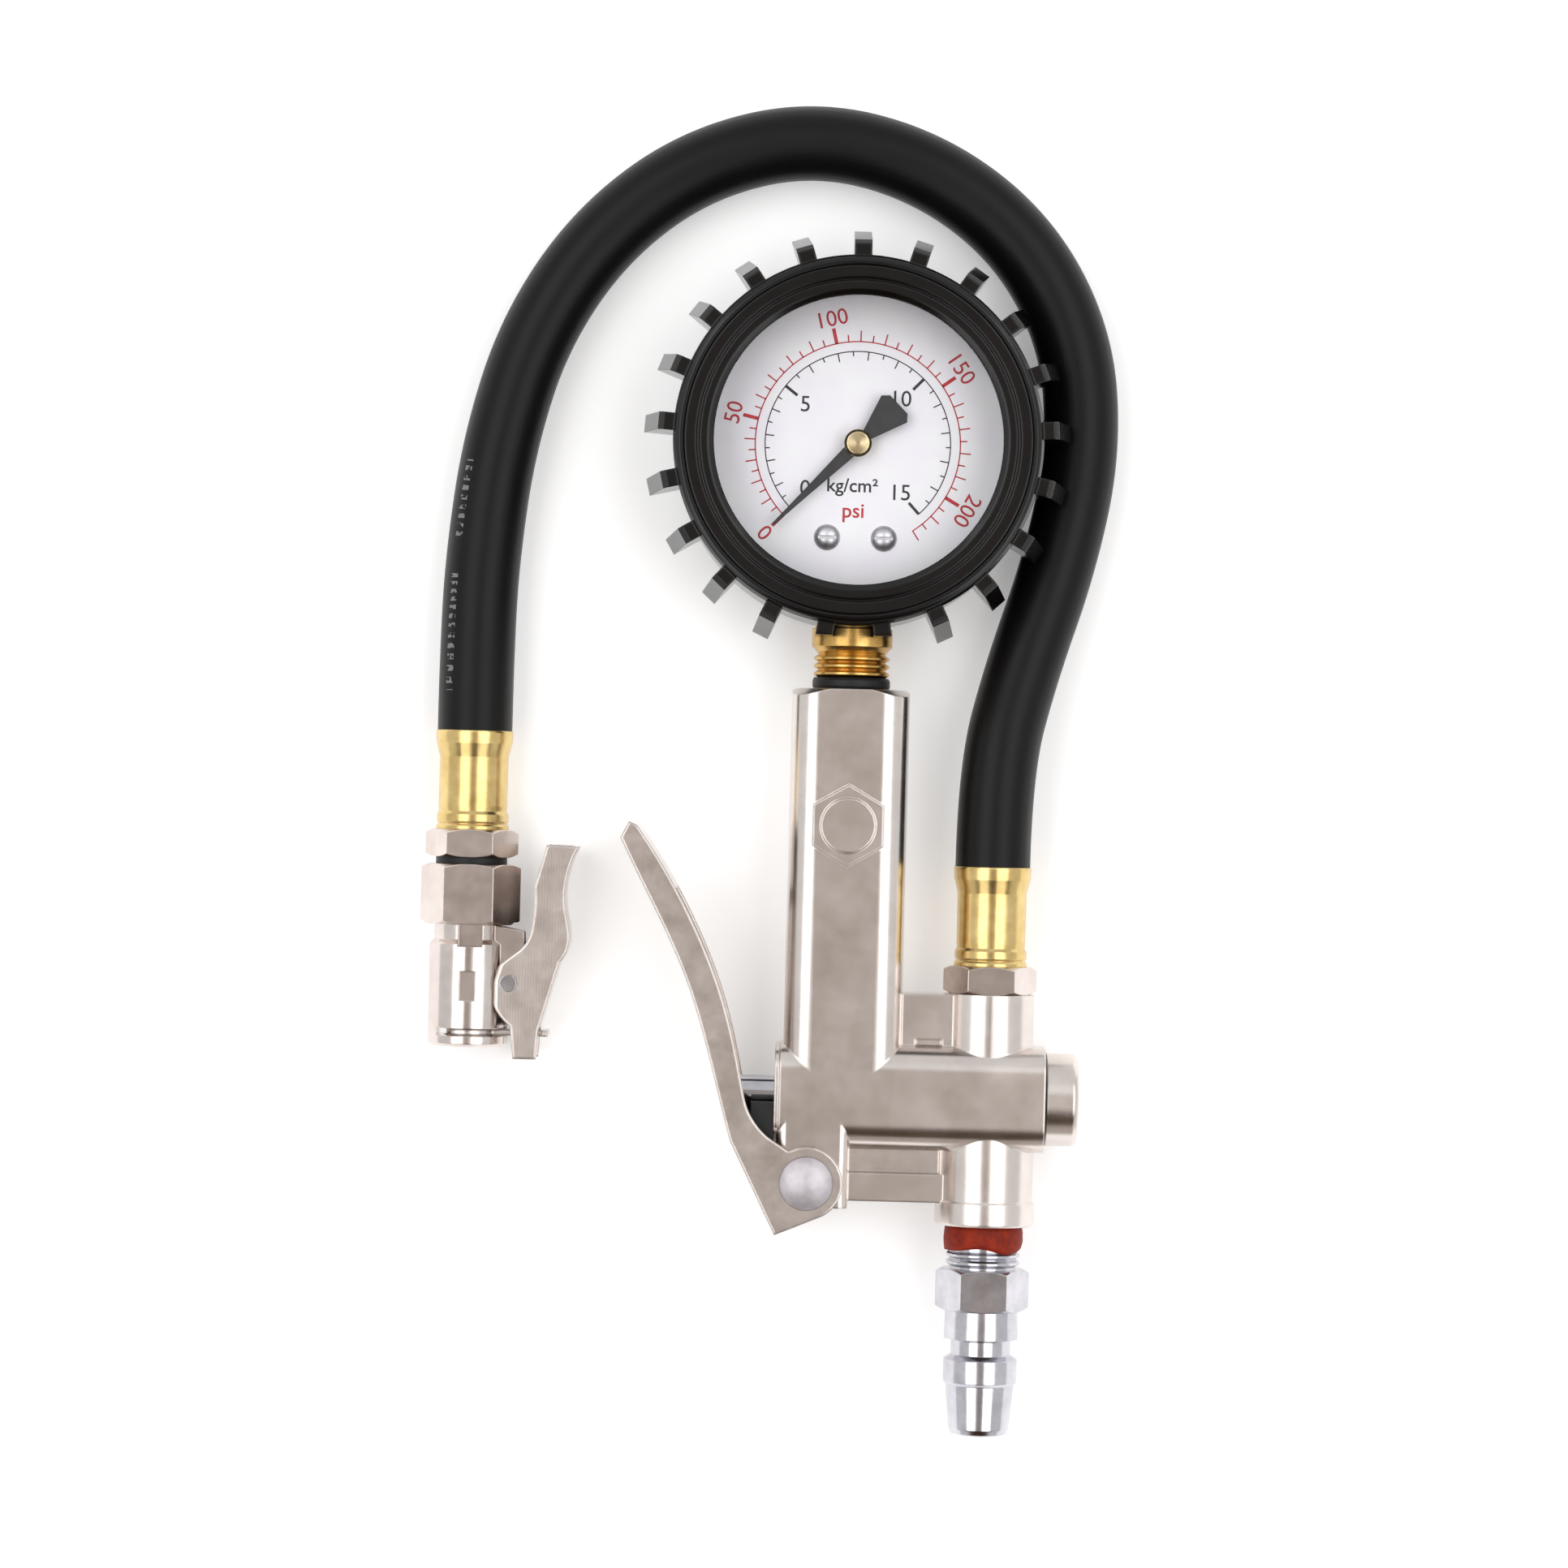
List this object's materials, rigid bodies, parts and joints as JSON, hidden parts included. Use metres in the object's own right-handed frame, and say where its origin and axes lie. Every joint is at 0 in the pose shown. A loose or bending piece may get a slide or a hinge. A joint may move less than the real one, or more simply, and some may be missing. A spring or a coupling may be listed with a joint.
{
  "type": "tire pressure gauge",
  "caption": "Hand-held tyre inflator with a dial pressure gauge in a toothed rubber boot, a squeeze lever valve, a short hose and a clip-on chuck.",
  "frame": {"origin": "middle of the base of the rigid gun's box as it lies on its back, leaving out the hose and the chuck", "axes": "+X across the handle towards the hose port, +Y along the handle towards the gauge, +Z out of the dial"},
  "size_m": [0.1196, 0.2305, 0.028],
  "materials": {
    "nickel": "satin nickel plate over die-cast zinc",
    "bright_nickel": "bright nickel plate over turned brass",
    "steel": "zinc plated steel",
    "spring_steel": "drawn wire",
    "brass": "turned and crimped",
    "bronze": "drawn phosphor bronze",
    "black_rubber": "moulded, glossy",
    "hose_rubber": "extruded, satin",
    "seal_rubber": "moulded",
    "sealant": "cured thread sealant",
    "dial_white": "white enamel",
    "pointer_black": "black enamel",
    "clear_lens": "clear polycarbonate",
    "bezel_black": "black paint"
  },
  "bodies": {
    "housing": {"valve_body": "nickel", "guide_bush": "brass", "rod_seal": "seal_rubber", "valve_seat": "brass", "valve_spring": "spring_steel", "end_cap": "nickel", "end_cap_seal": "seal_rubber", "lever_rivet": "steel", "lever_buffer": "black_rubber", "hose_fitting_body_end": "nickel", "ferrule_body_end": "brass", "hose_end_body": "hose_rubber", "inlet_plug": "steel", "inlet_seal": "sealant", "gauge_stem_seal": "seal_rubber", "gauge_socket": "brass", "gauge_boot": "black_rubber", "gauge_case": "steel", "case_screws": "steel", "gauge_bezel": "bezel_black", "lens_gasket": "seal_rubber", "gauge_lens": "clear_lens", "dial_plate": "dial_white", "dial_screws": "bright_nickel", "bourdon_tube": "bronze", "tube_tip": "brass", "movement_back_plate": "brass", "movement_front_plate": "brass", "movement_pillars": "brass", "movement_screws": "steel", "hairspring": "bronze", "hose": "hose_rubber", "ferrule_chuck_end": "brass", "hose_end_chuck": "hose_rubber", "hose_fitting_chuck_end": "nickel", "chuck_washer": "seal_rubber", "chuck_body": "bright_nickel", "chuck_seal": "seal_rubber", "core_depressor": "brass", "chuck_pivot_pin": "steel"},
    "lever": {"lever": "nickel"},
    "spindle": {"spindle": "steel", "poppet": "brass", "poppet_seal": "seal_rubber"},
    "pointer": {"pointer": "pointer_black", "pointer_hub": "brass", "pinion": "brass"},
    "sector": {"sector_gear": "brass"},
    "link": {"gauge_link": "steel"},
    "chuck_lever": {"chuck_lever": "nickel", "chuck_lever_spring": "spring_steel"},
    "chuck_jaw": {"chuck_jaw": "steel"}
  },
  "joints": [
    {"name": "lever_pivot", "type": "hinge", "parent": "housing", "child": "lever", "pos_m": [-0.00665, -0.06035, 0.0117], "axis": [0, 0, -1], "range_deg": [0, 12], "stiffness_Nm_per_rad": 1, "springref_deg": -2.86},
    {"name": "spindle_slide", "type": "slide", "parent": "housing", "child": "spindle", "axis": [1, 0, 0], "range_m": [0, 0.00331], "deforming": ["valve_spring"]},
    {"name": "pointer_spin", "type": "hinge", "parent": "housing", "child": "pointer", "pos_m": [-0.001, 0.06695, 0.0117], "axis": [0, 0, -1], "range_deg": [0, 270], "deforming": ["hairspring"]},
    {"name": "sector_swing", "type": "hinge", "parent": "housing", "child": "sector", "pos_m": [0.00991, 0.06065, 0.0117], "axis": [0, 0, -1], "range_deg": [-33.75, 0]},
    {"name": "link_swing", "type": "hinge", "parent": "sector", "child": "link", "pos_m": [0.01264, 0.05773, 0.0117], "axis": [0, 0, -1], "range_deg": [0, 33.75]},
    {"name": "chuck_lever_pivot", "type": "hinge", "parent": "housing", "child": "chuck_lever", "pos_m": [-0.0591, -0.02775, 0.0076], "axis": [0, 0, 1], "range_deg": [0, 16], "stiffness_Nm_per_rad": 0.1, "springref_deg": -8.59},
    {"name": "jaw_slide", "type": "slide", "parent": "housing", "child": "chuck_jaw", "axis": [1, 0, 0], "range_m": [0, 0.00212]}
  ],
  "couplings": [
    {"joint": "spindle_slide", "follows": "lever_pivot", "m_per_rad": 0.0158},
    {"joint": "sector_swing", "follows": "pointer_spin", "ratio": -0.125},
    {"joint": "link_swing", "follows": "pointer_spin", "ratio": 0.125},
    {"joint": "jaw_slide", "follows": "chuck_lever_pivot", "m_per_rad": 0.0076}
  ]
}
